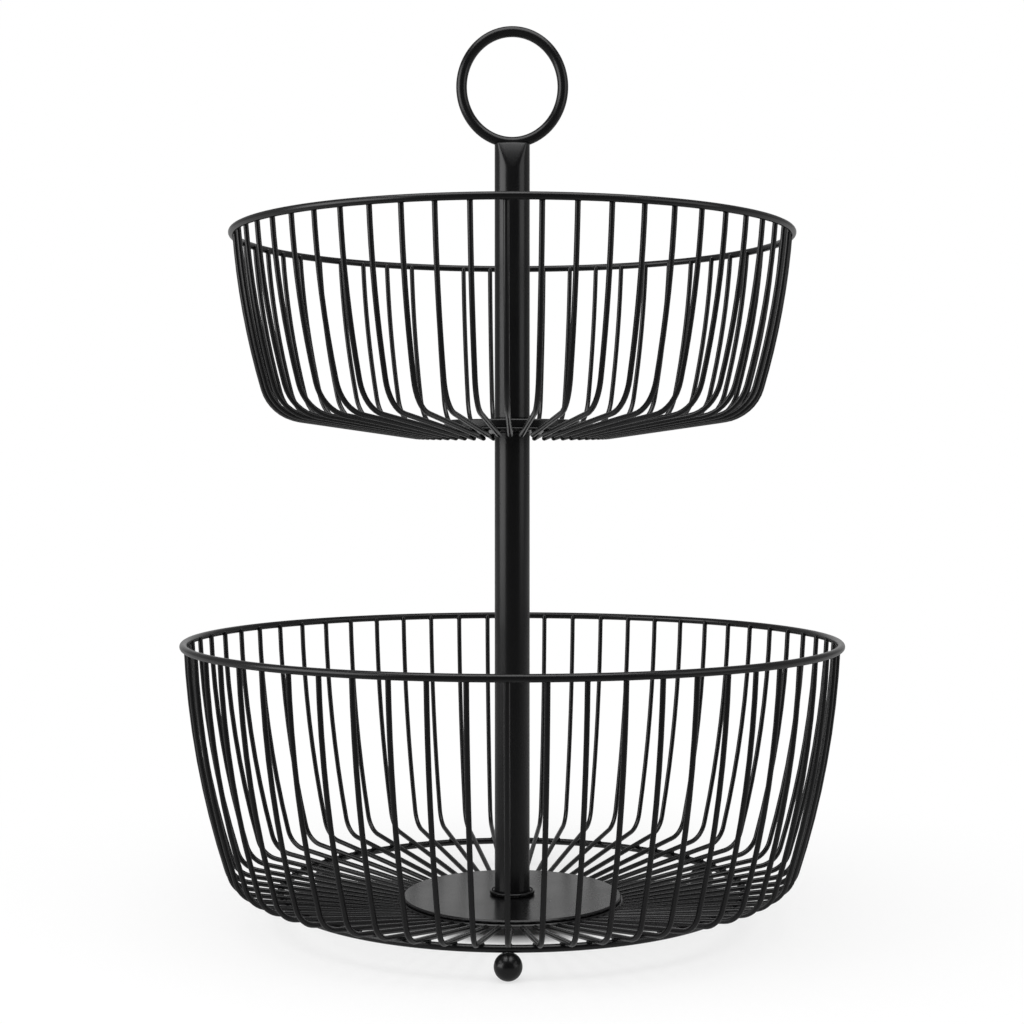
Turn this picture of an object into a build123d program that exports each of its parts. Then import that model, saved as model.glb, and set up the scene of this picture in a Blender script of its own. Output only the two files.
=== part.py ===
from build123d import *
import os
from math import atan2, cos, degrees, pi, radians, sin, tan

os.makedirs("parts", exist_ok=True)

# Two-tier wire basket on a central post, in millimetres, with +Z up.
# The origin is on the floor under the middle of the post, and the front is towards -Y.
# A lean is measured from straight down, and a slope from level.

# Wire gauges
lower_rim_wire = 3.3
upper_rim_wire = 3.05
base_ring_wire = 3.2
lower_rib_wire = 2.3
upper_rib_wire = 2.24
handle_wire = 4.7

# Wires, balls and discs have flat sides, and a wire's curves are short runs with mitred corners
wire_sides = 6
wall_runs = 2
bend_corners = 2
rim_seat_angle = 60
handle_sides = 8
handle_runs = 26
ball_sides = 12
ball_bands = 5
collar_sides = 30
insert_sides = 6
screw_head_sides = 6
rim_flat_turn = 90

# Lower basket
lower_rim_radius = 148.0
lower_rim_height = 126.1
lower_rib_count = 60
lower_rib_phase = -0.8
lower_rib_inset = 1.35
lower_rib_rise = 0.5
lower_lean_top = 2.4
lower_lean_low = 17.45
lower_bend_radius = 12.2
lower_floor_slope = 8.8
lower_rib_inner_radius = 46.0
base_ring_inset = 42.5
lower_plate_radius = 49.9
lower_plate_thickness = 2.0

# Ball feet
foot_diameter = 11.6
foot_count = 3
foot_phase = -0.9

# Upper basket
upper_rim_radius = 126.1
upper_rim_height = 309.8
upper_rib_count = 56
upper_rib_phase = -1.1
upper_rib_inset = 1.2
upper_rib_rise = 0.45
upper_lean_top = 4.15
upper_lean_low = 16.13
upper_bend_radius = 19.0
upper_floor_slope = 8.2
upper_rib_inner_radius = 43.0
upper_plate_radius = 49.0
upper_plate_thickness = 1.2
hub_radius = 31.0
hub_thickness = 4.3

# Post
post_diameter = 16.0
post_wall = 1.2
lower_post_length = 211.2
upper_post_length = 126.0
pinch_height = 13.0
pinch_thickness = 8.4
collar_diameter = 20.5
collar_thickness = 2.0
collar_clearance = 0.05

# Threads that hold the stand together
thread_diameter = 6.0
thread_clearance = 0.05
through_clearance = 0.2
insert_length = 16.0
insert_clearance = 0.02
stud_sink = 12.0
stud_engagement = 15.0
post_washer_thickness = 0.8
base_washer_diameter = 17.5
base_washer_thickness = 1.5
screw_head_width = 10.0
screw_head_height = 3.6

# Ring handle
handle_half_width = 23.0
handle_half_height = 25.4
handle_sink = 3.35

# Every cut runs this far past what it cuts
overrun = 1.0

# Places that follow from what stands on what
base_ring_radius = lower_rim_radius - base_ring_inset
foot_radius = foot_diameter / 2
foot_centre_height = foot_radius * cos(pi / 2 / (ball_bands + 1))
base_ring_height = 2 * foot_centre_height + base_ring_wire / 2
ring_seat_gap = (base_ring_wire + lower_rib_wire) / 2
lower_seat_radius = base_ring_radius - ring_seat_gap * sin(radians(lower_floor_slope))
lower_seat_height = base_ring_height + ring_seat_gap * cos(radians(lower_floor_slope))
lower_half_drop = lower_rib_wire / 2 * cos(radians(lower_floor_slope))
lower_half_shift = lower_rib_wire / 2 * sin(radians(lower_floor_slope))
lower_plate_inset = lower_seat_radius - lower_plate_radius - lower_half_shift
lower_plate_bottom = lower_seat_height + lower_half_drop - lower_plate_inset * tan(radians(lower_floor_slope))
lower_plate_top = lower_plate_bottom + lower_plate_thickness
post_radius = post_diameter / 2
lower_post_top = lower_plate_top + lower_post_length
upper_plate_top = lower_post_top + upper_plate_thickness
upper_seat_radius = upper_plate_radius + upper_rib_wire / 2 * sin(radians(upper_floor_slope))
upper_seat_height = lower_post_top - upper_rib_wire / 2 * cos(radians(upper_floor_slope))
hub_top = upper_plate_top + hub_thickness
upper_post_foot = hub_top + post_washer_thickness
upper_post_top = upper_post_foot + upper_post_length
handle_height = upper_post_top - handle_sink + handle_wire / 2 + handle_half_height

# Radii shared by the fitted pieces
bore_radius = post_radius - post_wall
insert_radius = bore_radius - insert_clearance
thread_radius = thread_diameter / 2
threaded_bore_radius = thread_radius + thread_clearance
through_radius = thread_radius + through_clearance


def rib_corners(top, leans, bend_radius, slope, seat, inner_radius):
    """Corners of a rib in radius and height, from the rim to the inner end of the floor run.

    The wall is an arc between the two leans. The bend is an arc tangent to the wall and to
    the floor run, which passes through the seat. Those two conditions fix the wall's radius.
    """
    lean_top, lean_low = radians(leans[0]), radians(leans[1])
    lean_end = radians(90 - slope)
    rise = tan(radians(slope))
    bend_in = bend_radius * (cos(lean_low) - cos(lean_end))
    bend_down = bend_radius * (sin(lean_end) - sin(lean_low))
    drop_to_seat = top[1] - bend_down - seat[1] - (top[0] - bend_in - seat[0]) * rise
    drop_share = sin(lean_low) - sin(lean_top) - (cos(lean_top) - cos(lean_low)) * rise
    wall_radius = drop_to_seat / drop_share

    def along_arc(start, radius, first_lean, lean):
        inwards = radius * (cos(first_lean) - cos(lean))
        downwards = radius * (sin(lean) - sin(first_lean))
        return (start[0] - inwards, start[1] - downwards)

    corners = []
    for run in range(wall_runs):
        lean = lean_top + (lean_low - lean_top) * run / wall_runs
        corners.append(along_arc(top, wall_radius, lean_top, lean))
    low = along_arc(top, wall_radius, lean_top, lean_low)
    turn = (lean_end - lean_low) / bend_corners
    reach = bend_radius * tan(turn / 2)
    for corner in range(bend_corners):
        lean = lean_low + turn * corner
        touch = along_arc(low, bend_radius, lean_low, lean)
        corners.append((touch[0] - reach * sin(lean), touch[1] - reach * cos(lean)))
    floor_length = corners[-1][0] - inner_radius
    corners.append((inner_radius, corners[-1][1] - floor_length * rise))
    return corners


def make_rib(corners, wire, rim_radius, rim_height, rim_wire):
    """One bent wire along +X, cut at its top to sit against the rim's lower inner side."""
    inwards = rim_wire / 2 * cos(radians(rim_seat_angle))
    downwards = rim_wire / 2 * sin(radians(rim_seat_angle))
    rim_seat = Plane((rim_radius - inwards, 0, rim_height - downwards), z_dir=(-inwards, 0, -downwards))
    with BuildPart() as rib:
        with BuildLine(Plane.XZ) as path:
            Polyline(*corners)
        with BuildSketch(Plane(path.line @ 0, x_dir=(0, 1, 0), z_dir=path.line % 0)):
            RegularPolygon(wire / 2, wire_sides, major_radius=False)
        sweep(path=path.line, transition=Transition.RIGHT)
        split(bisect_by=rim_seat, keep=Keep.TOP)
    return rib.part


def make_cage(rib, count, phase):
    """All ribs of a basket, evenly spaced, with the first one at the phase from the front."""
    with BuildPart() as cage:
        with PolarLocations(0, count, start_angle=phase - 90):
            add(rib)
    return cage.part


def make_hoop(radius, height, wire, tilt, runs, phase):
    """A closed wire hoop with one straight run facing each rib.

    One flat of its section faces up and inwards by the tilt.
    """
    step = 2 * pi / runs
    front = radians(phase - 90)
    corner_radius = radius / cos(step / 2)
    start = (radius * cos(front), radius * sin(front))
    corners = [start]
    for run in range(runs):
        angle = front + step * (run + 1 / 2)
        corners.append((corner_radius * cos(angle), corner_radius * sin(angle)))
    corners.append(start)
    with BuildPart() as hoop:
        with BuildLine(Plane.XY.offset(height)) as path:
            Polyline(*corners)
        outwards = (cos(front), sin(front), 0)
        with BuildSketch(Plane(path.line @ 0, x_dir=outwards, z_dir=path.line % 0)):
            RegularPolygon(wire / 2, wire_sides, major_radius=False, rotation=-tilt)
        sweep(path=path.line, transition=Transition.RIGHT)
    return hoop.part


def make_washer(outer_radius, hole_radius, bottom, thickness):
    """A flat ring about the post's axis."""
    with BuildPart() as washer:
        with BuildSketch(Plane.XY.offset(bottom)):
            Circle(outer_radius)
            Circle(hole_radius, mode=Mode.SUBTRACT)
        extrude(amount=thickness)
    return washer.part


def make_insert(bottom):
    """A threaded insert with flat sides that fills the post's bore corner to corner."""
    with BuildPart() as insert:
        with BuildSketch(Plane.XY.offset(bottom)):
            RegularPolygon(insert_radius, insert_sides)
            Circle(threaded_bore_radius, mode=Mode.SUBTRACT)
        extrude(amount=insert_length)
    return insert.part


def make_ball():
    """A ball of tapered bands about the Z axis, centred on the origin, flat at its two poles."""
    rises = [pi * (band + 1 / 2) / (ball_bands + 1) - pi / 2 for band in range(ball_bands + 1)]
    with BuildPart() as ball:
        for low, high in zip(rises, rises[1:]):
            band_height = foot_radius * (sin(high) - sin(low))
            drawn_in = foot_radius * (cos(low) - cos(high))
            with BuildSketch(Plane.XY.offset(foot_radius * sin(low))):
                RegularPolygon(foot_radius * cos(low), ball_sides)
            extrude(amount=band_height, taper=degrees(atan2(drawn_in * cos(pi / ball_sides), band_height)))
    return ball.part


def make_disc(radius, hole_radius, bottom, thickness, sides, phase):
    """A flat disc about the post's axis, with one flat side facing the phase."""
    with BuildPart() as disc:
        with BuildSketch(Plane.XY.offset(bottom)):
            RegularPolygon(radius, sides, major_radius=False, rotation=phase - 90 - 180 / sides)
            Circle(hole_radius, mode=Mode.SUBTRACT)
        extrude(amount=thickness)
    return disc.part


def make_tube(bottom, length):
    """A straight stretch of the post."""
    with BuildPart() as tube:
        with BuildSketch(Plane.XY.offset(bottom)):
            Circle(post_radius)
            Circle(bore_radius, mode=Mode.SUBTRACT)
        extrude(amount=length)
    return tube.part


# Rims and base ring
lower_rim = make_hoop(
    lower_rim_radius, lower_rim_height, lower_rim_wire, rim_flat_turn, lower_rib_count, lower_rib_phase
)
lower_rim.label = "lower_rim"
export_step(lower_rim, "parts/lower_rim.step")

upper_rim = make_hoop(
    upper_rim_radius, upper_rim_height, upper_rim_wire, rim_flat_turn, upper_rib_count, upper_rib_phase
)
upper_rim.label = "upper_rim"
export_step(upper_rim, "parts/upper_rim.step")

base_ring = make_hoop(
    base_ring_radius, base_ring_height, base_ring_wire, lower_floor_slope, lower_rib_count, lower_rib_phase
)
base_ring.label = "base_ring"
export_step(base_ring, "parts/base_ring.step")

# Ribs of the lower basket
lower_corners = rib_corners(
    (lower_rim_radius - lower_rib_inset, lower_rim_height + lower_rib_rise),
    (lower_lean_top, lower_lean_low),
    lower_bend_radius,
    lower_floor_slope,
    (lower_seat_radius, lower_seat_height),
    lower_rib_inner_radius,
)
lower_rib = make_rib(lower_corners, lower_rib_wire, lower_rim_radius, lower_rim_height, lower_rim_wire)
lower_ribs = make_cage(lower_rib, lower_rib_count, lower_rib_phase)
lower_ribs.label = "lower_ribs"
export_step(lower_ribs, "parts/lower_ribs.step")

# Ribs of the upper basket
upper_corners = rib_corners(
    (upper_rim_radius - upper_rib_inset, upper_rim_height + upper_rib_rise),
    (upper_lean_top, upper_lean_low),
    upper_bend_radius,
    upper_floor_slope,
    (upper_seat_radius, upper_seat_height),
    upper_rib_inner_radius,
)
upper_rib = make_rib(upper_corners, upper_rib_wire, upper_rim_radius, upper_rim_height, upper_rim_wire)
upper_ribs = make_cage(upper_rib, upper_rib_count, upper_rib_phase)
upper_ribs.label = "upper_ribs"
export_step(upper_ribs, "parts/upper_ribs.step")

# Ball feet, flat where they stand and notched where they are welded to the base ring
ball = make_ball()
with BuildPart() as ball_feet:
    with PolarLocations(base_ring_radius, foot_count, start_angle=foot_phase - 90):
        with Locations((0, 0, foot_centre_height)):
            add(ball)
    add(base_ring, mode=Mode.SUBTRACT)
ball_feet.part.label = "ball_feet"
export_step(ball_feet.part, "parts/ball_feet.step")

# Plates that the inner ends of the ribs are welded to
lower_plate = make_disc(
    lower_plate_radius,
    through_radius,
    lower_plate_bottom,
    lower_plate_thickness,
    lower_rib_count,
    lower_rib_phase,
)
lower_plate.label = "lower_plate"
export_step(lower_plate, "parts/lower_plate.step")

upper_plate = make_disc(
    upper_plate_radius,
    through_radius,
    lower_post_top,
    upper_plate_thickness,
    upper_rib_count,
    upper_rib_phase,
)
upper_plate.label = "upper_plate"
export_step(upper_plate, "parts/upper_plate.step")

# Hub that spreads the upper post's load over the upper plate
upper_hub = make_disc(
    hub_radius, through_radius, upper_plate_top, hub_thickness, upper_rib_count, upper_rib_phase
)
upper_hub.label = "upper_hub"
export_step(upper_hub, "parts/upper_hub.step")

# Collar round the foot of the post
post_collar = make_disc(
    collar_diameter / 2,
    post_radius + collar_clearance,
    lower_plate_top,
    collar_thickness,
    collar_sides,
    0,
)
post_collar.label = "post_collar"
export_step(post_collar, "parts/post_collar.step")

# Lower post with a threaded insert in each end
lower_post = make_tube(lower_plate_top, lower_post_length)
lower_post.label = "lower_post"
export_step(lower_post, "parts/lower_post.step")

lower_post_bottom_insert = make_insert(lower_plate_top)
lower_post_bottom_insert.label = "lower_post_bottom_insert"
export_step(lower_post_bottom_insert, "parts/lower_post_bottom_insert.step")

lower_post_top_insert = make_insert(lower_post_top - insert_length)
lower_post_top_insert.label = "lower_post_top_insert"
export_step(lower_post_top_insert, "parts/lower_post_top_insert.step")

# Screw and washer under the lower plate
screw_head_top = lower_plate_bottom - base_washer_thickness
base_washer = make_washer(base_washer_diameter / 2, through_radius, screw_head_top, base_washer_thickness)
base_washer.label = "base_washer"
export_step(base_washer, "parts/base_washer.step")

with BuildPart() as base_screw:
    with BuildSketch(Plane.XY.offset(screw_head_top)):
        RegularPolygon(screw_head_width / 2, screw_head_sides, major_radius=False)
    extrude(amount=-screw_head_height)
    with BuildSketch(Plane.XY.offset(screw_head_top)):
        Circle(thread_radius)
    extrude(amount=lower_plate_top + stud_sink - screw_head_top)
base_screw.part.label = "base_screw"
export_step(base_screw.part, "parts/base_screw.step")

# Stud that joins the two posts through the upper plate and hub
with BuildPart() as joining_stud:
    with BuildSketch(Plane.XY.offset(lower_post_top - stud_sink)):
        Circle(thread_radius)
    extrude(amount=upper_post_foot + stud_engagement - lower_post_top + stud_sink)
joining_stud.part.label = "joining_stud"
export_step(joining_stud.part, "parts/joining_stud.step")

# Washer between the hub and the upper post
post_washer = make_washer(post_radius, through_radius, hub_top, post_washer_thickness)
post_washer.label = "post_washer"
export_step(post_washer, "parts/post_washer.step")

# Upright oval ring handle, with a straight run across its top and one in the post's top
handle_step = 2 * pi / handle_runs
handle_start = (0, handle_height + handle_half_height * cos(handle_step / 2))
handle_corners = [handle_start]
for run in range(handle_runs):
    turned = handle_step * (run + 1 / 2)
    handle_corners.append((handle_half_width * sin(turned), handle_height + handle_half_height * cos(turned)))
handle_corners.append(handle_start)
with BuildPart() as ring_handle:
    with BuildLine(Plane.XZ) as handle_path:
        Polyline(*handle_corners)
    with BuildSketch(Plane(handle_path.line @ 0, x_dir=(0, 1, 0), z_dir=handle_path.line % 0)):
        RegularPolygon(handle_wire / 2, handle_sides, major_radius=False)
    sweep(path=handle_path.line, transition=Transition.RIGHT)
ring_handle.part.label = "ring_handle"
export_step(ring_handle.part, "parts/ring_handle.step")

# Upper post, pinched at its top from front and back round the foot of the ring handle
pinch_start = upper_post_top - pinch_height
with BuildPart() as upper_post:
    with BuildSketch(Plane.XY.offset(upper_post_foot)):
        Circle(post_radius)
    extrude(amount=upper_post_length)
    with BuildSketch(Plane.XY.offset(upper_post_foot)):
        Circle(bore_radius)
    extrude(amount=upper_post_length - pinch_height, mode=Mode.SUBTRACT)
    with BuildSketch(Plane.YZ) as pinch:
        with BuildLine():
            flank = TangentArc(
                (post_radius, pinch_start), (pinch_thickness / 2, upper_post_top), tangent=(0, 1)
            )
            Polyline(
                flank @ 1,
                (pinch_thickness / 2, upper_post_top + overrun),
                (post_radius + overrun, upper_post_top + overrun),
                (post_radius + overrun, pinch_start),
                flank @ 0,
            )
        make_face()
        mirror(about=Plane.YZ)
    extrude(amount=post_radius + overrun, both=True, mode=Mode.SUBTRACT)
    add(ring_handle.part, mode=Mode.SUBTRACT)
upper_post.part.label = "upper_post"
export_step(upper_post.part, "parts/upper_post.step")

upper_post_insert = make_insert(upper_post_foot)
upper_post_insert.label = "upper_post_insert"
export_step(upper_post_insert, "parts/upper_post_insert.step")
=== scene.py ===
"""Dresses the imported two-tier wire basket: round wires, turned plates, welds, coats and a studio."""
import math

import bpy
import numpy as np
from bpy.props import FloatProperty, FloatVectorProperty, IntProperty, PointerProperty
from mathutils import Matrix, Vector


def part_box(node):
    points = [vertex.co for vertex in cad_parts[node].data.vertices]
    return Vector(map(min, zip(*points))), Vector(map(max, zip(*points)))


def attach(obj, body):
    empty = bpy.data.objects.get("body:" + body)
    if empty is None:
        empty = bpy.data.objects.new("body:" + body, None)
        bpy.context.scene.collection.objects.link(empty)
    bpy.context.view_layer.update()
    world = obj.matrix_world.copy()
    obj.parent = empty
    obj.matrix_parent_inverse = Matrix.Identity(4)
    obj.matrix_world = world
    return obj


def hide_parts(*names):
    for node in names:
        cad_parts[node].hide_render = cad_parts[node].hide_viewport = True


bl_info = {
    "name": "Tiered wire basket",
    "version": (1, 0, 0),
    "blender": (4, 5, 0),
    "location": "View3D > Sidebar > Basket",
    "description": "Builds the wires, plates, post, welds and finishes of a two-tier wire basket",
    "category": "Object",
}

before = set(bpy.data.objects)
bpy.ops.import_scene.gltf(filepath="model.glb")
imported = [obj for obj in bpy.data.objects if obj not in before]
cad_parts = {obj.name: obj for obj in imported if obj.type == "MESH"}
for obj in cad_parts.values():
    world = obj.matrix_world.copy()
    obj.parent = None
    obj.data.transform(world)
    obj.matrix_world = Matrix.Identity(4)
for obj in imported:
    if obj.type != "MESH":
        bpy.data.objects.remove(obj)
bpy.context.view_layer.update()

MM = 0.001
STAND = "stand"
TOP_POST = "top_post"
WHITE = (1, 1, 1, 1)
UPWARDS = np.array((0.0, 0.0, 1.0))
SIDEWAYS = np.array((0.0, 1.0, 0.0))


def box_mm(node):
    """Lowest and highest corner of a CAD node, in millimetres."""
    low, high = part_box(node)
    return np.array(low) / MM, np.array(high) / MM


def middle_mm(node):
    """Middle of a CAD node's box, in millimetres."""
    low, high = box_mm(node)
    return (low + high) / 2


def linear(hex_value):
    """Linear colour of an sRGB hex value: c / 12.92 up to 0.04045, else ((c + 0.055) / 1.055) ** 2.4."""
    parts = [int(hex_value[i : i + 2], 16) / 255 for i in (1, 3, 5)]
    return tuple(c / 12.92 if c <= 0.04045 else ((c + 0.055) / 1.055) ** 2.4 for c in parts)


def length_value(name, description, metres):
    """A length that a user may change."""
    return FloatProperty(name=name, description=description, default=metres, unit="LENGTH")


def colour_value(name, description, hex_value):
    """A colour that a user may change."""
    return FloatVectorProperty(
        name=name, description=description, subtype="COLOR", size=3, default=linear(hex_value)
    )


class BasketSizes(bpy.types.PropertyGroup):
    """Wire gauges, edge rounding and weld sizes, in metres."""

    rib_sides: IntProperty(name="Rib facets", description="Sides round each rib", default=12, min=8)
    lower_rim_wire: length_value("Lower rim wire", "Diameter of the lower rim", 0.0033)
    upper_rim_wire: length_value("Upper rim wire", "Diameter of the upper rim", 0.0032)
    base_ring_wire: length_value("Base ring wire", "Diameter of the ring under the floor", 0.0032)
    lower_rib_wire: length_value("Lower rib wire", "Diameter of the lower ribs", 0.0023)
    upper_rib_wire: length_value("Upper rib wire", "Diameter of the upper ribs", 0.00234)
    handle_wire: length_value("Handle wire", "Diameter of the ring handle's wire", 0.0049)
    plate_edge: length_value("Plate edge", "Rounding of the upper plate's, hub's and collar's edges", 0.0009)
    weld_height: length_value("Weld height", "Half height of the small welds", 0.0008)


class BasketFinish(bpy.types.PropertyGroup):
    """Colours of the coats and of the studio."""

    coat: colour_value("Coat", "Colour of the powder coat", "#0b0b0c")
    coat_thin: colour_value("Thin coat", "Colour where the coat is thinner", "#101011")
    zinc: colour_value("Zinc", "Colour of the zinc plating", "#b4b8bc")
    zinc_dull: colour_value("Dull zinc", "Colour of the zinc's duller crystals", "#9da3a9")
    floor: colour_value("Floor", "Colour of the studio floor", "#fbfbfb")


# Node trees


def add_node(tree, kind, fields=None, values=None, links=None):
    """Adds a node, sets its fields and its sockets' values, and links other sockets into it."""
    node = tree.nodes.new(kind)
    for name, value in (fields or {}).items():
        setattr(node, name, value)
    for name, value in (values or {}).items():
        node.inputs[name].default_value = value
    for name, source in (links or {}).items():
        tree.links.new(source, node.inputs[name])
    return node


def empty_tree(owner):
    """The owner's node tree with nothing in it."""
    owner.use_nodes = True
    owner.node_tree.nodes.clear()
    return owner.node_tree


def noise(tree, place, size, detail, roughness=0.5):
    """Noise with grains about size metres across."""
    values = {"Scale": 1 / size, "Detail": detail, "Roughness": roughness}
    return add_node(tree, "ShaderNodeTexNoise", values=values, links={"Vector": place}).outputs["Fac"]


def mapped(tree, value, span, ends, shape="LINEAR"):
    """The value with its span moved onto the two ends, and held there beyond them."""
    return add_node(
        tree,
        "ShaderNodeMapRange",
        fields={"interpolation_type": shape},
        values={"From Min": span[0], "From Max": span[1], "To Min": ends[0], "To Max": ends[1]},
        links={"Value": value},
    ).outputs["Result"]


def arithmetic(tree, operation, first, second):
    """An operation such as ADD on a socket and either another socket or a number."""
    number = isinstance(second, float)
    return add_node(
        tree,
        "ShaderNodeMath",
        fields={"operation": operation},
        values={1: second} if number else {},
        links={0: first} if number else {0: first, 1: second},
    ).outputs["Value"]


def blend(tree, share, first, second):
    """The colour at that share of the way from the first colour to the second."""
    return add_node(
        tree,
        "ShaderNodeMix",
        fields={"data_type": "RGBA"},
        values={6: (*first, 1), 7: (*second, 1)},
        links={0: share},
    ).outputs[2]


def bump(tree, height, strength, depth, under=None):
    """Relief as deep as depth metres, on top of another relief if one is given."""
    links = {"Height": height}
    if under:
        links["Normal"] = under
    values = {"Strength": strength, "Distance": depth}
    return add_node(tree, "ShaderNodeBump", values=values, links=links).outputs["Normal"]


def end_in_shader(tree, values, tone, gloss, relief):
    """Closes a tree with a Principled shader on its tone, gloss and relief."""
    shader = add_node(
        tree,
        "ShaderNodeBsdfPrincipled",
        values=values,
        links={"Base Color": tone, "Roughness": gloss, "Normal": relief},
    )
    add_node(tree, "ShaderNodeOutputMaterial", links={"Surface": shader.outputs["BSDF"]})


# Materials

NOISE_SPAN = (0.3, 0.7)  # what most of a noise's values lie between


def powder_coat_material():
    """Satin black polyester powder coat, sprayed on dry and baked over steel wire.

    The film levels as it melts and is left with a faint orange peel about 1.4 mm across and a
    finer grain, which break up the edges of the highlights. It runs thinner on edges, so its
    black and its gloss drift a little over 24 mm. Its IOR is that of polyester resin.
    """
    finish = bpy.context.scene.basket_finish
    material = bpy.data.materials.new("satin_black_powder_coat")
    tree = empty_tree(material)
    place = add_node(tree, "ShaderNodeTexCoord").outputs["Object"]
    drift = noise(tree, place, 24 * MM, detail=3.0, roughness=0.55)
    peel = noise(tree, place, 1.4 * MM, detail=1.5, roughness=0.4)
    grain = noise(tree, place, 0.35 * MM, detail=1.0)
    tone = blend(tree, drift, finish.coat, finish.coat_thin)
    gloss = mapped(tree, drift, NOISE_SPAN, (0.23, 0.28))
    waves = bump(tree, peel, strength=0.5, depth=0.012 * MM)
    relief = bump(tree, grain, strength=0.3, depth=0.004 * MM, under=waves)
    end_in_shader(tree, {"IOR": 1.5, "Metallic": 0.0}, tone, gloss, relief)
    return material


def zinc_material():
    """Electroplated bright zinc on steel, as on bought screws and washers.

    It is a cool pale grey metal, with crystals about 0.8 mm across that differ slightly in tone,
    and fine handling marks 0.4 mm wide that are drawn out along the post and dull its gloss.
    """
    finish = bpy.context.scene.basket_finish
    material = bpy.data.materials.new("bright_zinc_plate")
    tree = empty_tree(material)
    place = add_node(tree, "ShaderNodeTexCoord").outputs["Object"]
    crystals = add_node(
        tree, "ShaderNodeTexVoronoi", values={"Scale": 1 / (0.8 * MM)}, links={"Vector": place}
    )
    stretched = add_node(
        tree, "ShaderNodeMapping", values={"Scale": (1.0, 1.0, 0.12)}, links={"Vector": place}
    )
    marks = noise(tree, stretched.outputs["Vector"], 0.4 * MM, detail=2.0)
    tone = blend(tree, crystals.outputs["Color"], finish.zinc, finish.zinc_dull)
    gloss = mapped(tree, marks, NOISE_SPAN, (0.24, 0.36))
    relief = bump(tree, marks, strength=0.3, depth=0.006 * MM)
    end_in_shader(tree, {"Metallic": 1.0}, tone, gloss, relief)
    return material


def coat():
    """The powder coat, made the first time it is asked for."""
    return bpy.data.materials.get("satin_black_powder_coat") or powder_coat_material()


def zinc():
    """The zinc plating, made the first time it is asked for."""
    return bpy.data.materials.get("bright_zinc_plate") or zinc_material()


# Surfaces


def turns(steps):
    """Angles of that many equal steps round a circle, in radians."""
    return np.arange(steps) / steps * 2 * np.pi


def grid_faces(rows, columns, closed_rows):
    """Quads between neighbouring rows and columns, where the columns always close."""
    row = np.arange(rows if closed_rows else rows - 1)[:, None]
    column = np.arange(columns)[None, :]
    next_row = (row + 1) % rows
    next_column = (column + 1) % columns
    corners = (
        row * columns + column,
        row * columns + next_column,
        next_row * columns + next_column,
        next_row * columns + column,
    )
    return np.stack(corners, -1).reshape(-1, 4)


def add_piece(name, grids, material, body, replaced=(), closed_rows=False):
    """A mesh of one or more copies of a grid, in millimetres as copies, rows, columns, xyz.

    A face's outside is that of columns crossed with rows. Open ends are closed by one flat face.
    """
    copies, rows, columns, _ = grids.shape
    starts = np.arange(copies)[:, None, None] * rows * columns
    faces = (grid_faces(rows, columns, closed_rows)[None] + starts).reshape(-1, 4).tolist()
    if not closed_rows:
        ring = np.arange(columns)
        faces += (ring[::-1] + starts[:, 0]).tolist()
        faces += (ring + (rows - 1) * columns + starts[:, 0]).tolist()
    mesh = bpy.data.meshes.new(name)
    mesh.from_pydata((grids.reshape(-1, 3) * MM).tolist(), [], faces)
    mesh.materials.append(material)
    mesh.shade_smooth()
    piece = bpy.data.objects.new(name, mesh)
    bpy.context.scene.collection.objects.link(piece)
    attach(piece, body)
    if replaced:
        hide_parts(*replaced)
    return piece


def wire_grid(path, binormal, radius, sides, closed=False):
    """Round wire along a flat path: path + radius * (cos a * normal + sin a * binormal).

    The normal is the binormal crossed with the path's direction. The radius may differ per point.
    """
    if closed:
        along = np.roll(path, -1, 0) - np.roll(path, 1, 0)
    else:
        along = np.gradient(path, axis=0)
    along /= np.linalg.norm(along, axis=1, keepdims=True)
    normal = np.cross(binormal, along)
    around = turns(sides)
    reach = np.broadcast_to(radius, len(path))[:, None, None]
    spokes = np.cos(around)[None, :, None] * normal[:, None] + np.sin(around)[None, :, None] * binormal
    return path[:, None] + reach * spokes


def hoop_grid(radius, height, wire, steps, sides):
    """Ring of round wire: the path is (radius * cos u, radius * sin u, height) for u from 0 to 2 pi."""
    turn = turns(steps)
    path = np.stack((radius * np.cos(turn), radius * np.sin(turn), np.full(steps, height)), 1)
    return wire_grid(path, UPWARDS, wire / 2, sides, closed=True)


def turned_copies(grid, angles):
    """The grid turned about the Z axis by each angle in degrees."""
    angle = np.radians(np.asarray(angles, float))[:, None, None]
    x, y = grid[None, ..., 0], grid[None, ..., 1]
    height = np.broadcast_to(grid[None, ..., 2], (len(angle), *grid.shape[:2]))
    turned_x = x * np.cos(angle) - y * np.sin(angle)
    turned_y = x * np.sin(angle) + y * np.cos(angle)
    return np.stack((turned_x, turned_y, height), -1)


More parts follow.
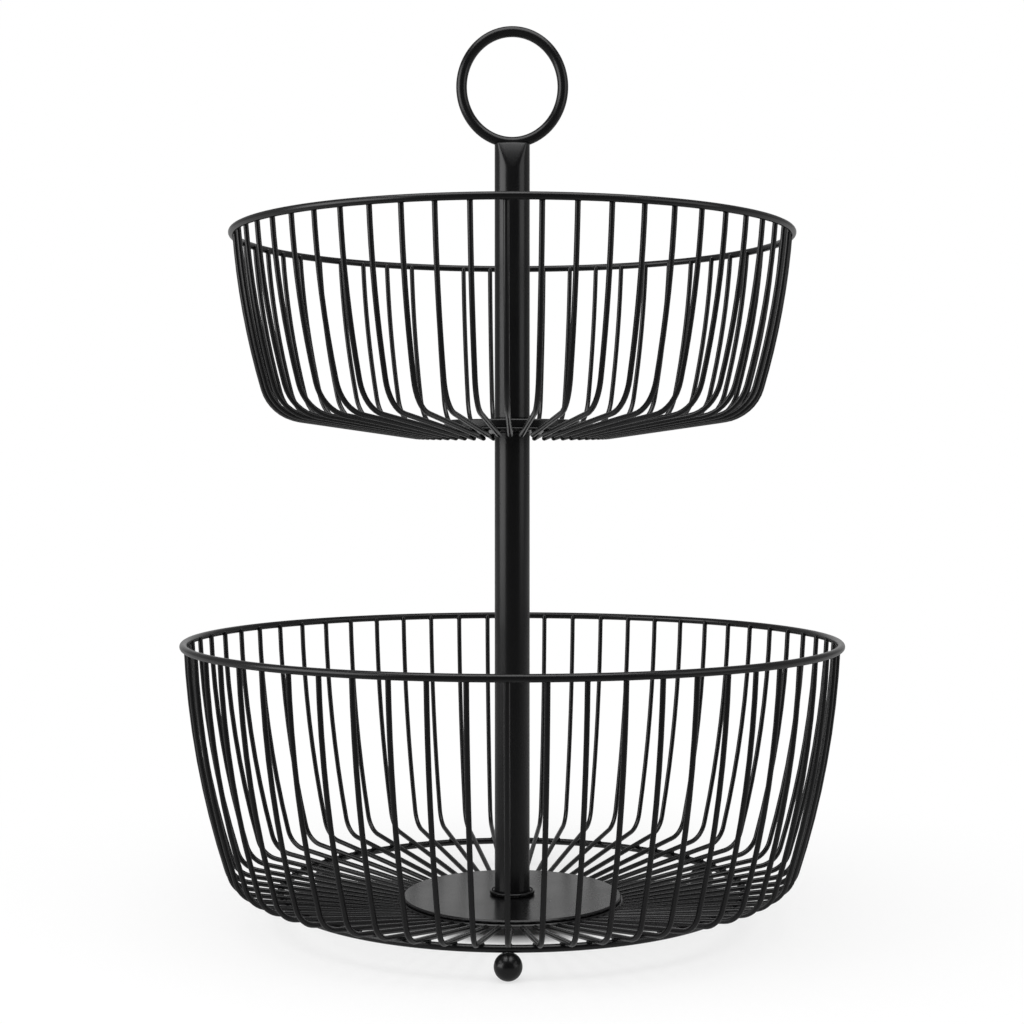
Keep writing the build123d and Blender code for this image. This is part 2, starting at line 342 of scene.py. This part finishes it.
def rounded_profile(corners, rounding, points=5):
    """Closed outline whose corners are arcs of that many points, with one more point beside each end.

    A corner becomes the arc that touches both its sides, with the rounding as its radius. The points
    beside it, 0.6 * rounding further along the sides, keep those flat under smooth shading.
    """
    corners = np.asarray(corners, float)
    back = np.roll(corners, 1, 0) - corners
    ahead = np.roll(corners, -1, 0) - corners
    back /= np.linalg.norm(back, axis=1, keepdims=True)
    ahead /= np.linalg.norm(ahead, axis=1, keepdims=True)
    half = np.arccos(np.clip((back * ahead).sum(1, keepdims=True), -1, 1)) / 2
    reach = rounding / np.tan(half)
    bisector = (back + ahead) / np.linalg.norm(back + ahead, axis=1, keepdims=True)
    centre = corners + bisector * rounding / np.sin(half)
    start = corners + back * reach
    end = corners + ahead * reach
    share = np.linspace(0, 1, points)[None, :, None]
    chord = start[:, None] * (1 - share) + end[:, None] * share - centre[:, None]
    arc = centre[:, None] + chord / np.linalg.norm(chord, axis=2, keepdims=True) * rounding
    beside = 0.6 * rounding
    rows = (start[:, None] + back[:, None] * beside, arc, end[:, None] + ahead[:, None] * beside)
    return np.concatenate(rows, 1).reshape(-1, 2)


def turned_grid(radius, height, steps):
    """Surface of revolution: (r * cos u, r * sin u, z) for a profile's r and z, one of each a row.

    Where r has a column for each step, it also differs round the axis.
    """
    turn = turns(steps)[None, :]
    return np.stack((radius * np.cos(turn), radius * np.sin(turn), height + 0 * turn), -1)


def ring_grid(outer, inner, bottom, top, rounding, steps, chamfers=(0, 0)):
    """Turned ring of rectangular section with rounded edges.

    The chamfers cut its outer edge, at 45 degrees and as deep as given, below and above.
    """
    low, high = chamfers
    edge = ((outer - low, bottom), (outer, bottom + low), (outer, top - high), (outer - high, top))
    if not any(chamfers):
        edge = ((outer, bottom), (outer, top))
    corners = (*edge, (inner, top), (inner, bottom))
    profile = rounded_profile(corners, rounding)
    return turned_grid(profile[:, :1], profile[:, 1:], steps)


def ball_grid(centre, halves, steepest, rows, columns):
    """Ball: centre + (a * cos p * cos u, b * cos p * sin u, c * sin p), p from -steepest to steepest.

    Steepest is in degrees and keeps the grid off the poles, where flat faces close it.
    """
    rise = np.radians(np.linspace(-steepest, steepest, rows))[:, None]
    turn = turns(columns)[None, :]
    across, along, up = halves
    x = across * np.cos(rise) * np.cos(turn)
    y = along * np.cos(rise) * np.sin(turn)
    return np.array(centre, float) + np.stack((x, y, up * np.sin(rise) + 0 * turn), -1)


# Driving values that scene and CAD source share, in millimetres and degrees. A basket's inset and rise
# take its ribs' tops inside and above the rim's middle, its leans are from the vertical, its slope is
# that of the floor run, and the floor run ends at its inner radius.

LOWER = {
    "count": 60,
    "phase": -0.8,
    "inset": 1.35,
    "rise": 0.5,
    "lean_top": 2.4,
    "lean_low": 17.45,
    "bend_radius": 12.2,
    "slope": 8.8,
    "inner_radius": 46.0,
}
UPPER = {
    "count": 56,
    "phase": -1.1,
    "inset": 1.2,
    "rise": 0.45,
    "lean_top": 4.15,
    "lean_low": 16.13,
    "bend_radius": 19.0,
    "slope": 8.2,
    "inner_radius": 43.0,
}
LOWER_RIM_RADIUS = 148.0
UPPER_RIM_RADIUS = 126.1
BASE_RING_RADIUS = 105.5
LOWER_RIM_HEIGHT = middle_mm("lower_rim")[2]
UPPER_RIM_HEIGHT = middle_mm("upper_rim")[2]
BASE_RING_HEIGHT = middle_mm("base_ring")[2]
LOWER_PLATE_RADIUS = 49.9
UPPER_PLATE_RADIUS = 49.0
LOWER_PLATE_BOTTOM = box_mm("lower_plate")[0][2]
UPPER_PLATE_BOTTOM = box_mm("upper_plate")[0][2]
AXIS_HOLE_RADIUS = 3.2
HUB_RADIUS = 31.0
COLLAR_RADIUS = 10.25
COLLAR_BORE_RADIUS = 8.05
POST_RADIUS = 8.0
POST_BORE_RADIUS = 6.8
PINCH_HEIGHT = 13.0
PINCH_HALF_THICKNESS = 4.2
FOOT_RADIUS = 5.8
FOOT_ANGLES = (-90.9, 29.1, 149.1)
HANDLE_HALF_WIDTH = 23.0

# Values of the scene alone, in millimetres. The lip under the lower plate overhangs its edge, the seat
# is the plate's underside, and the mouth is that of the pinched post.

HANDLE_HALF_HEIGHT = 25.0
PLATE_CHAMFERS = (0.9, 0.6)
CHAMFER_ROUNDING = 0.15
LIP_OVERHANG, LIP_WIDTH, LIP_BELOW_SEAT, LIP_ABOVE_SEAT = 1.1, 4.1, 1.6, 0.35
MOUTH_CUT = 1.6
FOOT_WELD_HALVES = (1.9, 2.3, 1.1)

# Points along a rib's wall, bend and floor run, and its cut ends: at these shares of the wire's
# radius from an end, the rib has those shares of its radius
WALL_POINTS, BEND_POINTS, RUN_POINTS = 9, 9, 6
END_DISTANCES = np.array((0.0, 0.25, 0.6, 1.0))
END_RADII = np.array((0.55, 0.82, 0.96, 1.0))

# Points round and along the other grids
HOOP_STEPS, HOOP_SIDES = 240, 20
DISC_STEPS = 192
POST_STEPS = 128
PINCH_ROWS = 41
HANDLE_STEPS, HANDLE_SIDES = 200, 32
MOUTH_WELD_STEPS, MOUTH_WELD_SIDES = 72, 12
SCREW_STEPS, STUD_STEPS = 96, 32

# Steepest angle in degrees, rows and columns of the balls
FOOT_BALL = (88, 45, 64)
FOOT_WELD_BALL = (72, 13, 32)
RIB_WELD_BALL = (72, 5, 8)


def rib_path(basket, top, seat, wire):
    """Line of a rib in the plane of +X, and its radius at each point.

    With s the length from the rim, the lean turns at 1 / wall radius down the wall, at
    1 / bend radius round the bend, and stays on the floor run. The wall's radius is the one that
    takes the floor run through the seat.
    """
    lean_top, lean_low = math.radians(basket["lean_top"]), math.radians(basket["lean_low"])
    lean_end = math.radians(90 - basket["slope"])
    slope = math.tan(math.radians(basket["slope"]))
    bend_radius = basket["bend_radius"]
    bend_in = bend_radius * (math.cos(lean_low) - math.cos(lean_end))
    bend_down = bend_radius * (math.sin(lean_end) - math.sin(lean_low))
    drop = top[1] - bend_down - seat[1] - (top[0] - bend_in - seat[0]) * slope
    share = math.sin(lean_low) - math.sin(lean_top) - (math.cos(lean_top) - math.cos(lean_low)) * slope
    wall_radius = drop / share
    wall = wall_radius * (lean_low - lean_top)
    bend = bend_radius * (lean_end - lean_low)
    floor_start = top[0] - wall_radius * (math.cos(lean_top) - math.cos(lean_low)) - bend_in
    total = wall + bend + (floor_start - basket["inner_radius"]) / math.sin(lean_end)
    near_end = wire / 2 * END_DISTANCES
    s = np.concatenate(
        (
            near_end,
            np.linspace(0, wall, WALL_POINTS)[1:-1],
            np.linspace(wall, wall + bend, BEND_POINTS),
            np.linspace(wall + bend, total, RUN_POINTS)[1:-1],
            total - near_end[::-1],
        )
    )
    wall_lean = lean_top + np.clip(s, 0, wall) / wall_radius
    bend_lean = lean_low + np.clip(s - wall, 0, bend) / bend_radius
    run = np.clip(s - wall - bend, 0, None)
    inwards = (
        wall_radius * (math.cos(lean_top) - np.cos(wall_lean))
        + bend_radius * (math.cos(lean_low) - np.cos(bend_lean))
        + run * math.sin(lean_end)
    )
    downwards = (
        wall_radius * (np.sin(wall_lean) - math.sin(lean_top))
        + bend_radius * (np.sin(bend_lean) - math.sin(lean_low))
        + run * math.cos(lean_end)
    )
    path = np.stack((top[0] - inwards, 0 * s, top[1] - downwards), 1)
    from_end = np.minimum(s, total - s)
    radius = wire / 2 * np.interp(from_end, near_end, END_RADII)
    return path, radius


def rib_angles(basket):
    """Angles of the ribs about the post, in degrees from +X."""
    return basket["phase"] - 90 + 360 / basket["count"] * np.arange(basket["count"])


class BASKET_OT_rims(bpy.types.Operator):
    """Makes both rims and the base ring as round wire hoops"""

    bl_idname = "basket.rims"
    bl_label = "Rims and base ring"

    def execute(self, context):
        sizes = context.scene.basket_sizes
        hoops = (
            ("lower_rim_hoop", "lower_rim", LOWER_RIM_RADIUS, LOWER_RIM_HEIGHT, sizes.lower_rim_wire),
            ("upper_rim_hoop", "upper_rim", UPPER_RIM_RADIUS, UPPER_RIM_HEIGHT, sizes.upper_rim_wire),
            ("base_hoop", "base_ring", BASE_RING_RADIUS, BASE_RING_HEIGHT, sizes.base_ring_wire),
        )
        for name, node, radius, height, wire in hoops:
            grid = hoop_grid(radius, height, wire / MM, HOOP_STEPS, HOOP_SIDES)
            add_piece(name, grid[None], coat(), STAND, (node,), closed_rows=True)
        return {"FINISHED"}


class BASKET_OT_ribs(bpy.types.Operator):
    """Makes the bent ribs of both baskets from one line each"""

    bl_idname = "basket.ribs"
    bl_label = "Ribs"

    def execute(self, context):
        sizes = context.scene.basket_sizes
        lower_rim, upper_rim = (LOWER_RIM_RADIUS, LOWER_RIM_HEIGHT), (UPPER_RIM_RADIUS, UPPER_RIM_HEIGHT)

        # The lower ribs' floor run lies on the base ring, and the upper ribs' under the plate's edge
        slope = math.radians(LOWER["slope"])
        gap = (sizes.base_ring_wire + sizes.lower_rib_wire) / MM / 2
        lower_seat = (BASE_RING_RADIUS - gap * math.sin(slope), BASE_RING_HEIGHT + gap * math.cos(slope))
        slope = math.radians(UPPER["slope"])
        half = sizes.upper_rib_wire / MM / 2
        upper_seat = (
            UPPER_PLATE_RADIUS + half * math.sin(slope),
            UPPER_PLATE_BOTTOM - half * math.cos(slope),
        )
        baskets = (
            ("lower_rib_wires", "lower_ribs", LOWER, lower_rim, lower_seat, sizes.lower_rib_wire),
            ("upper_rib_wires", "upper_ribs", UPPER, upper_rim, upper_seat, sizes.upper_rib_wire),
        )
        for name, node, basket, (rim_radius, rim_height), seat, wire in baskets:
            top = (rim_radius - basket["inset"], rim_height + basket["rise"])
            path, radius = rib_path(basket, top, seat, wire / MM)
            rib = wire_grid(path, SIDEWAYS, radius, sizes.rib_sides)
            add_piece(name, turned_copies(rib, rib_angles(basket)), coat(), STAND, (node,))
        return {"FINISHED"}


class BASKET_OT_feet(bpy.types.Operator):
    """Makes the ball feet, each cut flat where it stands"""

    bl_idname = "basket.feet"
    bl_label = "Ball feet"

    def execute(self, context):
        # The balls' middles are halfway up to the base ring's underside
        ring_bottom = BASE_RING_HEIGHT - context.scene.basket_sizes.base_ring_wire / MM / 2
        ball = ball_grid((BASE_RING_RADIUS, 0, ring_bottom / 2), (FOOT_RADIUS,) * 3, *FOOT_BALL)
        ball[..., 2] = np.maximum(ball[..., 2], 0)
        add_piece("round_feet", turned_copies(ball, FOOT_ANGLES), coat(), STAND, ("ball_feet",))
        return {"FINISHED"}


class BASKET_OT_plates(bpy.types.Operator):
    """Makes the two plates, the hub, the collar and the lower plate's lip"""

    bl_idname = "basket.plates"
    bl_label = "Plates, hub and collar"

    def execute(self, context):
        edge = context.scene.basket_sizes.plate_edge / MM
        hole = AXIS_HOLE_RADIUS
        square = (0, 0)
        rings = (
            ("lower_plate_disc", "lower_plate", LOWER_PLATE_RADIUS, hole, CHAMFER_ROUNDING, PLATE_CHAMFERS),
            ("upper_plate_disc", "upper_plate", UPPER_PLATE_RADIUS, hole, edge, square),
            ("hub_disc", "upper_hub", HUB_RADIUS, hole, edge, square),
            ("collar_ring", "post_collar", COLLAR_RADIUS, COLLAR_BORE_RADIUS, edge, square),
        )
        for name, node, outer, inner, rounding, chamfers in rings:
            low, high = box_mm(node)
            # The edge of a thin ring keeps a tenth of its height flat
            rounding = min(rounding, 0.45 * (high[2] - low[2]))
            grid = ring_grid(outer, inner, low[2], high[2], rounding, DISC_STEPS, chamfers)
            add_piece(name, grid[None], coat(), STAND, (node,), closed_rows=True)

        # Lip under the lower plate, a little wider than it, with a dark groove between their edges
        outer = LOWER_PLATE_RADIUS + LIP_OVERHANG
        bottom, top = LOWER_PLATE_BOTTOM - LIP_BELOW_SEAT, LOWER_PLATE_BOTTOM + LIP_ABOVE_SEAT
        lip = ring_grid(
            outer, outer - LIP_WIDTH, bottom, top, CHAMFER_ROUNDING, DISC_STEPS, PLATE_CHAMFERS
        )
        add_piece("lower_plate_lip", lip[None], coat(), STAND, closed_rows=True)
        return {"FINISHED"}


class BASKET_OT_post(bpy.types.Operator):
    """Makes the lower post, and the upper post with its pinched top"""

    bl_idname = "basket.post"
    bl_label = "Post"

    def execute(self, context):
        outer, inner = POST_RADIUS, POST_BORE_RADIUS
        lower_edge, edge = 0.25, 0.3
        low, high = box_mm("lower_post")
        tube = ring_grid(outer, inner, low[2], high[2], lower_edge, POST_STEPS)
        add_piece("lower_post_tube", tube[None], coat(), STAND, ("lower_post",), closed_rows=True)

        # The upper post's rows run down the bore, which ends below the pinch, out across the foot, whose
        # edges are rounded, up the outside, where they crowd towards the mouth, and in across the mouth.
        # The mouth is cut a little low, and the ring and its weld fill it.
        low, high = box_mm("upper_post")
        foot, top = low[2], high[2]
        pinch_start = top - PINCH_HEIGHT
        mouth = top - MOUTH_CUT
        pinch_rows = mouth - (PINCH_HEIGHT - MOUTH_CUT) * (1 - np.linspace(0, 1, PINCH_ROWS) ** 0.8)
        mouth_rows = [(outer - inset, mouth) for inset in (0.15, 0.6, 4)]
        mid_arc = 0.3 * edge  # how far the middle of an edge's arc lies from both sides
        rows = np.concatenate(
            (
                ((inner, pinch_start - 0.5), (inner, pinch_start - 1), (inner, foot + 2 * edge)),
                ((inner + mid_arc, foot + mid_arc), (inner + edge, foot), (outer - edge, foot)),
                ((outer - mid_arc, foot + mid_arc), (outer, foot + edge), (outer, foot + 2 * edge)),
                np.stack((np.full(PINCH_ROWS, outer), pinch_rows), 1),
                mouth_rows,
            )
        )
        radius, height = rows[:, :1], rows[:, 1:]
        post = turned_grid(radius, height, POST_STEPS)

        # In the pinch y is held within a flank. At a share of the pinch's height, the flank has fallen in
        # by (1 - curve) * share + curve * share ** 2 of the way to the pinch's half thickness. Passes of
        # (y[i - 1] + 2 * y[i] + y[i + 1]) / 4, round and along the pinch, then soften its edges.
        curve, passes = 0.3, 10
        share = np.clip(height - pinch_start, 0, PINCH_HEIGHT) / PINCH_HEIGHT
        flank = radius - (outer - PINCH_HALF_THICKNESS) * ((1 - curve) * share + curve * share**2)
        flank = np.where(height < pinch_start, outer + 1, flank)
        y = np.clip(post[..., 1], -flank, flank)
        pinch_end = len(rows) - len(mouth_rows)
        pinched = slice(pinch_end - PINCH_ROWS + 1, pinch_end)
        for _ in range(passes):
            for way in (1, 0):
                y[pinched] = (np.roll(y, 1, way) + 2 * y + np.roll(y, -1, way))[pinched] / 4
        post[..., 1] = y
        add_piece("upper_post_tube", post[None], coat(), TOP_POST, ("upper_post",))
        return {"FINISHED"}


class BASKET_OT_handle(bpy.types.Operator):
    """Makes the upright oval ring and the weld that holds it in the post"""

    bl_idname = "basket.handle"
    bl_label = "Ring handle"

    def execute(self, context):
        wire = context.scene.basket_sizes.handle_wire / MM
        height = middle_mm("ring_handle")[2]
        turn = turns(HANDLE_STEPS)
        x, z = HANDLE_HALF_WIDTH * np.sin(turn), height + HANDLE_HALF_HEIGHT * np.cos(turn)
        path = np.stack((x, 0 * turn, z), 1)
        ring = wire_grid(path, SIDEWAYS, wire / 2, HANDLE_SIDES, closed=True)
        add_piece(
            "ring_handle_hoop", ring[None], coat(), TOP_POST, ("ring_handle",), closed_rows=True
        )

        # Weld that runs as an oval round the mouth of the pinched post, sunk a little into it
        half_width, half_depth, sunk, bead_radius = 7.0, 3.5, 0.25, 0.8
        mouth = box_mm("upper_post")[1][2] - MOUTH_CUT
        turn = turns(MOUTH_WELD_STEPS)
        path = np.stack((half_width * np.cos(turn), half_depth * np.sin(turn), 0 * turn + mouth - sunk), 1)
        bead = wire_grid(path, UPWARDS, bead_radius, MOUTH_WELD_SIDES, closed=True)
        add_piece("handle_weld", bead[None], coat(), TOP_POST, closed_rows=True)
        return {"FINISHED"}


class BASKET_OT_welds(bpy.types.Operator):
    """Makes the small welds where the ribs meet the rims, the base ring and the plates, and on the feet"""

    bl_idname = "basket.welds"
    bl_label = "Welds"

    def execute(self, context):
        tall = context.scene.basket_sizes.weld_height / MM
        ring_half = context.scene.basket_sizes.base_ring_wire / MM / 2
        ring_top = BASE_RING_HEIGHT + ring_half

        # Each row has the radius and height of what a rib meets, the weld's offsets outwards and
        # upwards from there, and its half sizes, the last of them times the half height
        welds = (
            ("lower_rim_welds", LOWER, LOWER_RIM_RADIUS, LOWER_RIM_HEIGHT, -1.25, -1.35, (0.9, 1.5, 1.1)),
            ("upper_rim_welds", UPPER, UPPER_RIM_RADIUS, UPPER_RIM_HEIGHT, -1.15, -1.25, (0.85, 1.4, 1.1)),
            ("base_ring_welds", LOWER, BASE_RING_RADIUS, ring_top, -0.2, 0.1, (1.3, 1.5, 1)),
            ("lower_plate_welds", LOWER, LOWER_PLATE_RADIUS, LOWER_PLATE_BOTTOM, -1.9, -0.35, (1.5, 1.5, 1)),
            ("upper_plate_welds", UPPER, UPPER_PLATE_RADIUS, UPPER_PLATE_BOTTOM, -1.9, -0.35, (1.5, 1.5, 1)),
        )
        for name, basket, radius, height, outwards, upwards, (across, along, up) in welds:
            centre = (radius + outwards, 0, height + upwards)
            bead = ball_grid(centre, (across, along, up * tall), *RIB_WELD_BALL)
            add_piece(name, turned_copies(bead, rib_angles(basket)), coat(), STAND)
        centre = (BASE_RING_RADIUS, 0, BASE_RING_HEIGHT - ring_half)
        bead = ball_grid(centre, FOOT_WELD_HALVES, *FOOT_WELD_BALL)
        add_piece("foot_welds", turned_copies(bead, FOOT_ANGLES), coat(), STAND)
        return {"FINISHED"}


class BASKET_OT_fastenings(bpy.types.Operator):
    """Makes the hexagon screw and the threaded stud, and coats the washers and inserts"""

    bl_idname = "basket.fastenings"
    bl_label = "Screw, stud and washers"

    def execute(self, context):
        # The screw's rows are heights with the widest radius there: the head's foot and its cone, the
        # head's top, the shank and its chamfered end. The hexagon holds the head within 10 mm across
        # its flats: r = half the flats / cos(u), for u from the middle of the nearest flat.
        low, high = box_mm("base_screw")
        bottom, head_top, end = low[2], low[2] + 3.6, high[2]
        rows = np.array(
            (
                (bottom, 2.0),
                (bottom, 4.75),
                (bottom + 0.3, 5.27),
                (bottom + 0.58, 6.0),
                (head_top, 6.0),
                (head_top, 3.0),
                (end - 0.6, 3.0),
                (end, 2.4),
            )
        )
        half_flats, sixth = 5.0, np.pi / 3
        hexagon = half_flats / np.cos((turns(SCREW_STEPS) + sixth / 2) % sixth - sixth / 2)
        screw = turned_grid(np.minimum(rows[:, 1:], hexagon), rows[:, :1], SCREW_STEPS)
        add_piece("hexagon_screw", screw[None], zinc(), STAND, ("base_screw",))

        # The stud's thread is a ridge that climbs 1 mm a turn: r = core + depth * ridge, where the ridge
        # is the saw |2 * ((z - u / 2 pi) mod 1) - 1|, cut off at its root and crest, and fades at both ends
        low, high = box_mm("joining_stud")
        core, depth, row_height, fade = 2.4, 0.58, 0.125, 0.8
        height = np.arange(low[2], high[2], row_height)[:, None]
        saw = np.abs((height - turns(STUD_STEPS) / (2 * np.pi)) % 1 * 2 - 1)
        ease = np.clip(np.minimum(height - low[2], high[2] - height) / fade, 0, 1)
        ridge = np.clip(1.25 * saw - 0.1, 0, 1) * ease
        stud = turned_grid(core + depth * ridge, height, STUD_STEPS)
        add_piece("threaded_stud", stud[None], zinc(), STAND, ("joining_stud",))

        # The washers and inserts keep the CAD's shapes and only get a material
        carried = {
            zinc: ("base_washer", "lower_post_bottom_insert", "lower_post_top_insert", "upper_post_insert"),
            coat: ("post_washer",),
        }
        for material, nodes in carried.items():
            for node in nodes:
                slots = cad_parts[node].data.materials
                slots.clear()
                slots.append(material())
        return {"FINISHED"}


# Studio, in metres, watts and radians

FLOOR_REACH = 12.0
LAMPS = (
    ("left_softbox", (-1.45, -0.62, 0.62), (1.3, 1.2), 12.5),
    ("right_softbox", (1.47, -0.64, 0.70), (1.0, 1.2), 3.9),
    ("top_softbox", (0.0, -0.35, 1.30), (1.4, 0.9), 9.8),
)
LAMP_AIM = (0.0, 0.0, 0.2)
FILL_STRENGTH = 0.5
CAMERA_PLACE = (-0.0001, -0.8211, 0.2036)
CAMERA_DIP = 0.02252
LENS_MM, SENSOR_MM = 63.28, 36
CLIP_START, CLIP_END = 0.05, 60

# What gloss sees of the backdrop: its least strength, and ramps along Y as start, end and gain.
# For the world Y is that of the ray's direction, and for the floor that of the place.
WORLD_GLOSS = (0.04, ((-0.55, 0.35, 0.18), (0.8, 1.0, 0.42)))
FLOOR_GLOSS = (0.12, ((-0.5, 0.1, 0.30),))

# The floor's white share near the basket and further off, and the distances from the post between
# which it changes; and those between which the dark under the lower plate ends
WHITE_SHARES = (0.66, 1.0)
WHITE_DISTANCES = (0.13, 0.36)
DARK_DISTANCES = (0.035, 0.054)


def seen_factor(tree, light_path):
    """1 for rays from the camera, from gloss and through glass, which see the white studio."""
    camera_or_gloss = arithmetic(
        tree, "MAXIMUM", light_path.outputs["Is Camera Ray"], light_path.outputs["Is Glossy Ray"]
    )
    return arithmetic(tree, "MAXIMUM", camera_or_gloss, light_path.outputs["Is Transmission Ray"])


def backdrop_strength(tree, light_path, place, low, ramps):
    """Strength of the white backdrop: 1 to the camera, and low plus the ramps to gloss and glass.

    A studio is white behind its subject and dim round the camera, and satin black shows the difference.
    """
    along = add_node(tree, "ShaderNodeSeparateXYZ", links={"Vector": place}).outputs["Y"]
    total = arithmetic(tree, "ADD", light_path.outputs["Is Camera Ray"], low)
    for start, end, gain in ramps:
        total = arithmetic(tree, "ADD", total, mapped(tree, along, (start, end), (0.0, gain), "SMOOTHSTEP"))
    return arithmetic(tree, "MINIMUM", total, 1.0)


def floor_material(tint):
    """Matt white studio paper, washed out as a studio does it.

    Camera and gloss see it mixed with plain white. The white's share is 0 under the lower plate, where
    all is in shadow. Round that the camera sees enough paper for a soft shadow under the basket, and
    only white further off, while gloss sees white everywhere. All other light meets the paper itself.
    """
    material = bpy.data.materials.new("matt_white_paper")
    tree = empty_tree(material)
    place = add_node(tree, "ShaderNodeTexCoord").outputs["Object"]
    from_post = add_node(tree, "ShaderNodeVectorMath", fields={"operation": "LENGTH"}, links={0: place})
    distance = from_post.outputs["Value"]
    light_path = add_node(tree, "ShaderNodeLightPath")
    white_share = mapped(tree, distance, WHITE_DISTANCES, WHITE_SHARES, "SMOOTHSTEP")
    white_share = arithmetic(tree, "MAXIMUM", light_path.outputs["Is Glossy Ray"], white_share)
    outside_dark = mapped(tree, distance, DARK_DISTANCES, (0.0, 1.0))
    shown = arithmetic(tree, "MULTIPLY", outside_dark, white_share)
    shown = arithmetic(tree, "MULTIPLY", seen_factor(tree, light_path), shown)
    paper = add_node(
        tree,
        "ShaderNodeBsdfPrincipled",
        values={"Base Color": (*tint, 1), "Roughness": 0.9, "Specular IOR Level": 0.2},
    )
    strength = backdrop_strength(tree, light_path, place, *FLOOR_GLOSS)
    white = add_node(tree, "ShaderNodeEmission", values={"Color": WHITE}, links={"Strength": strength})
    mixed = add_node(
        tree,
        "ShaderNodeMixShader",
        links={0: shown, 1: paper.outputs["BSDF"], 2: white.outputs["Emission"]},
    )
    add_node(tree, "ShaderNodeOutputMaterial", links={"Surface": mixed.outputs["Shader"]})
    return material


def add_floor(scene):
    reach = FLOOR_REACH
    corners = [(-reach, -reach, 0), (reach, -reach, 0), (reach, reach, 0), (-reach, reach, 0)]
    mesh = bpy.data.meshes.new("floor")
    mesh.from_pydata(corners, [], [(0, 1, 2, 3)])
    mesh.materials.append(floor_material(scene.basket_finish.floor))
    floor = bpy.data.objects.new("floor", mesh)
    scene.collection.objects.link(floor)


def add_lamp(scene, name, place, size, power):
    """Rectangular softbox that faces the basket's middle."""
    data = bpy.data.lights.new(name, "AREA")
    data.shape = "RECTANGLE"
    data.size, data.size_y = size
    data.energy = power
    lamp = bpy.data.objects.new(name, data)
    lamp.location = place
    aim = np.array(LAMP_AIM) - np.array(place)
    tilt = math.atan2(math.hypot(aim[0], aim[1]), -aim[2])
    lamp.rotation_euler = (tilt, 0, math.atan2(aim[1], aim[0]) - math.pi / 2)
    scene.collection.objects.link(lamp)


def studio_world():
    """World that camera, gloss and glass see as a white backdrop, and that fills the rest evenly."""
    world = bpy.data.worlds.new("studio")
    tree = empty_tree(world)
    light_path = add_node(tree, "ShaderNodeLightPath")
    direction = add_node(tree, "ShaderNodeTexCoord").outputs["Generated"]
    strength = backdrop_strength(tree, light_path, direction, *WORLD_GLOSS)
    fill = add_node(tree, "ShaderNodeBackground", values={"Color": WHITE, "Strength": FILL_STRENGTH})
    white = add_node(tree, "ShaderNodeBackground", values={"Color": WHITE}, links={"Strength": strength})
    mixed = add_node(
        tree,
        "ShaderNodeMixShader",
        links={
            0: seen_factor(tree, light_path),
            1: fill.outputs["Background"],
            2: white.outputs["Background"],
        },
    )
    add_node(tree, "ShaderNodeOutputWorld", links={"Surface": mixed.outputs["Shader"]})
    world.cycles.sampling_method = "NONE"  # its light is too even to be worth a map of bright parts
    return world


def add_camera(scene):
    """Camera in front of the basket, as fitted to the photo, dipped a little below level."""
    data = bpy.data.cameras.new("camera")
    data.sensor_width = SENSOR_MM
    data.lens = LENS_MM
    data.clip_start, data.clip_end = CLIP_START, CLIP_END
    camera = bpy.data.objects.new("camera", data)
    camera.location = CAMERA_PLACE
    camera.rotation_euler = (math.pi / 2 - CAMERA_DIP, 0, 0)
    scene.collection.objects.link(camera)
    scene.camera = camera


class BASKET_OT_stage(bpy.types.Operator):
    """Makes the floor, the lamps, the world and the camera"""

    bl_idname = "basket.stage"
    bl_label = "Studio"

    def execute(self, context):
        scene = context.scene
        add_floor(scene)
        for name, place, size, power in LAMPS:
            add_lamp(scene, name, place, size, power)
        scene.world = studio_world()
        add_camera(scene)
        scene.view_settings.view_transform = "Standard"
        return {"FINISHED"}


MAKERS = (
    BASKET_OT_rims,
    BASKET_OT_ribs,
    BASKET_OT_feet,
    BASKET_OT_plates,
    BASKET_OT_post,
    BASKET_OT_handle,
    BASKET_OT_welds,
    BASKET_OT_fastenings,
    BASKET_OT_stage,
)


class BASKET_PT_panel(bpy.types.Panel):
    """Lists the basket's operators and values in the sidebar"""

    bl_idname = "BASKET_PT_panel"
    bl_label = "Tiered wire basket"
    bl_space_type = "VIEW_3D"
    bl_region_type = "UI"
    bl_category = "Basket"

    def draw(self, context):
        for maker in MAKERS:
            self.layout.operator(maker.bl_idname)
        for group in (context.scene.basket_sizes, context.scene.basket_finish):
            for name in group.bl_rna.properties.keys():
                if name not in ("rna_type", "name"):
                    self.layout.prop(group, name)


CLASSES = (BasketSizes, BasketFinish, *MAKERS, BASKET_PT_panel)


def register():
    """Adds the classes, and both groups of values to the scene."""
    for cls in CLASSES:
        bpy.utils.register_class(cls)
    bpy.types.Scene.basket_sizes = PointerProperty(type=BasketSizes)
    bpy.types.Scene.basket_finish = PointerProperty(type=BasketFinish)


def unregister():
    """Removes what register adds."""
    del bpy.types.Scene.basket_finish
    del bpy.types.Scene.basket_sizes
    for cls in reversed(CLASSES):
        bpy.utils.unregister_class(cls)


def main():
    register()
    bpy.ops.basket.rims()
    bpy.ops.basket.ribs()
    bpy.ops.basket.feet()
    bpy.ops.basket.plates()
    bpy.ops.basket.post()
    bpy.ops.basket.handle()
    bpy.ops.basket.welds()
    bpy.ops.basket.fastenings()
    bpy.ops.basket.stage()


if __name__ == "__main__":
    main()
